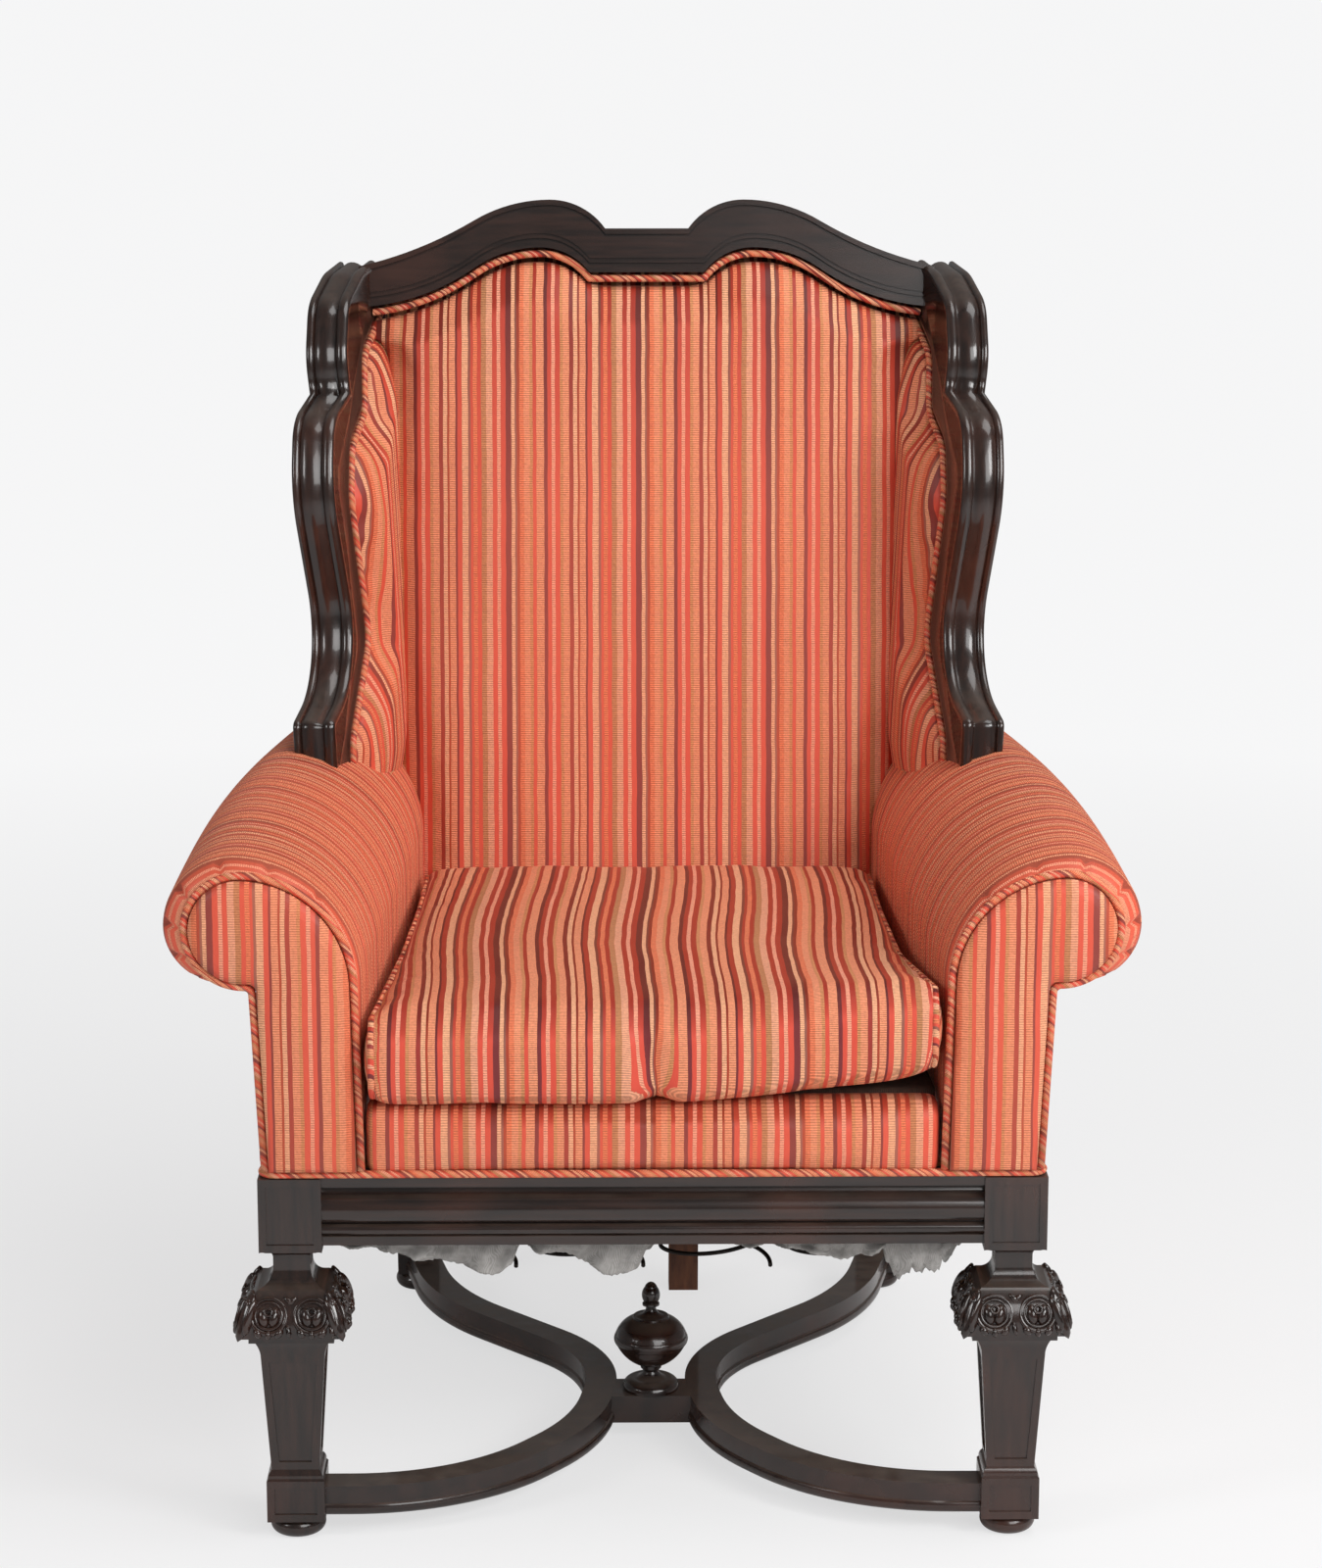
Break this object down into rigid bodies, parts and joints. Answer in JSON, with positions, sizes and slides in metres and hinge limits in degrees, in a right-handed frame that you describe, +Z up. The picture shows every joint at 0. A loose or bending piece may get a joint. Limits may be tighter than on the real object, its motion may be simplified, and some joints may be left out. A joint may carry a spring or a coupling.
{
  "type": "bergere chair",
  "caption": "Winged bergere armchair with rolled arms, loose seat cushion, scalloped show-wood wings, arched crest, carved square legs and a serpentine stretcher with a finial",
  "frame": {"origin": "middle of the bounding box at floor level", "axes": "+Z up, the seat faces -Y, +X to the right as seen from the front"},
  "size_m": [0.861, 0.7848, 1.1515],
  "materials": {
    "ebonised_wood": "black-brown French polish, reddish where worn",
    "frame_wood": "raw beech",
    "brown_wood": "plain brown stain",
    "striped_cloth": "woven stripes of red, orange, cream and maroon",
    "cushion_cloth": "woven stripes of red, orange, cream and maroon",
    "deck_cloth": "plain cotton",
    "hessian": "coarse hessian",
    "dust_cloth": "worn grey-black cotton",
    "spring_steel": "black lacquered wire",
    "steel": "plain steel"
  },
  "bodies": {
    "frame": {"front_leg_left": "ebonised_wood", "front_leg_right": "ebonised_wood", "front_bun_foot_left": "ebonised_wood", "front_bun_foot_right": "ebonised_wood", "rear_post_left": "ebonised_wood", "rear_post_right": "ebonised_wood", "rear_bun_foot_left": "ebonised_wood", "rear_bun_foot_right": "ebonised_wood", "front_rail": "ebonised_wood", "side_rail_left": "ebonised_wood", "side_rail_right": "ebonised_wood", "rear_rail": "ebonised_wood", "crest_rail": "ebonised_wood", "wing_frame_left": "ebonised_wood", "wing_frame_right": "ebonised_wood", "stretcher_left": "ebonised_wood", "stretcher_right": "ebonised_wood", "stretcher_block": "ebonised_wood", "finial": "ebonised_wood", "lower_back_rail": "frame_wood", "corner_braces": "frame_wood", "stretcher_dowels": "frame_wood", "arm_stump_left": "frame_wood", "arm_stump_right": "frame_wood", "arm_rail_left": "frame_wood", "arm_rail_right": "frame_wood", "arm_tacking_rail_left": "frame_wood", "arm_tacking_rail_right": "frame_wood", "front_border": "striped_cloth", "back_pad": "striped_cloth", "wing_pad_left": "striped_cloth", "wing_pad_right": "striped_cloth", "arm_pad_left": "striped_cloth", "arm_pad_right": "striped_cloth", "arm_facing_left": "striped_cloth", "arm_facing_right": "striped_cloth", "outside_arm_left": "striped_cloth", "outside_arm_right": "striped_cloth", "outside_wing_left": "striped_cloth", "outside_wing_right": "striped_cloth", "outside_back": "striped_cloth", "rail_piping": "striped_cloth", "crest_piping": "striped_cloth", "facing_piping_left": "striped_cloth", "facing_piping_right": "striped_cloth", "wing_piping_left": "striped_cloth", "wing_piping_right": "striped_cloth", "rear_centre_leg": "brown_wood", "brace_screws": "steel", "dust_cover": "dust_cloth"},
    "seat_deck": {"seat_deck_pad": "deck_cloth", "spring_hessian": "hessian", "seat_springs": "spring_steel"},
    "cushion": {"seat_cushion": "cushion_cloth"}
  },
  "joints": [
    {"name": "seat_give", "type": "slide", "parent": "frame", "child": "seat_deck", "axis": [0, 0, -1], "range_m": [0, 0.03], "stiffness_N_per_m": 7000, "springref_m": -0.03, "deforming": ["front_border"]},
    {"name": "cushion_lift", "type": "slide", "parent": "seat_deck", "child": "cushion", "axis": [0, -0.6, 0.8], "range_m": [0, 0.7]}
  ]
}
